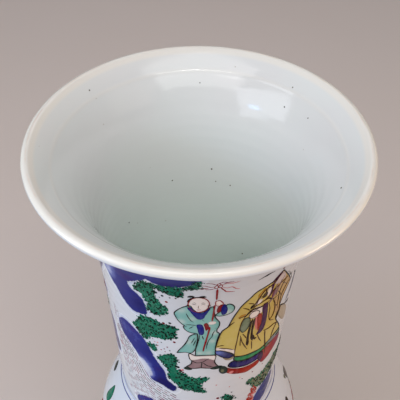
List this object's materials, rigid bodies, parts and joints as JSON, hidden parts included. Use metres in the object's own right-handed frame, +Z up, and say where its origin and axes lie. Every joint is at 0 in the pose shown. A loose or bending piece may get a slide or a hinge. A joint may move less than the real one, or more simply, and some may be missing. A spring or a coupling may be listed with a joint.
{
  "type": "gu vase",
  "caption": "Tall porcelain beaker vase with a trumpet neck, rounded lip, swelling middle bulb and spreading foot, painted in blue and coloured enamels.",
  "frame": {"origin": "middle of the foot ring, on the surface that the vase stands on", "axes": "+Z up along the vase's axis; -Y is the painted front that the picture shows; +X is the picture's right"},
  "size_m": [0.21, 0.21, 0.45],
  "materials": {
    "glazed_porcelain": "glossy bluish-white transparent glaze over porcelain",
    "bare_body": "fired porcelain body",
    "luting_slip": "fired slip, smooth"
  },
  "bodies": {
    "root": {"trumpet_neck": "glazed_porcelain", "neck_luting": "luting_slip", "middle_bulb": "glazed_porcelain", "waist_luting": "luting_slip", "spreading_foot": "glazed_porcelain", "base_disc": "bare_body", "base_luting": "luting_slip"}
  },
  "joints": []
}
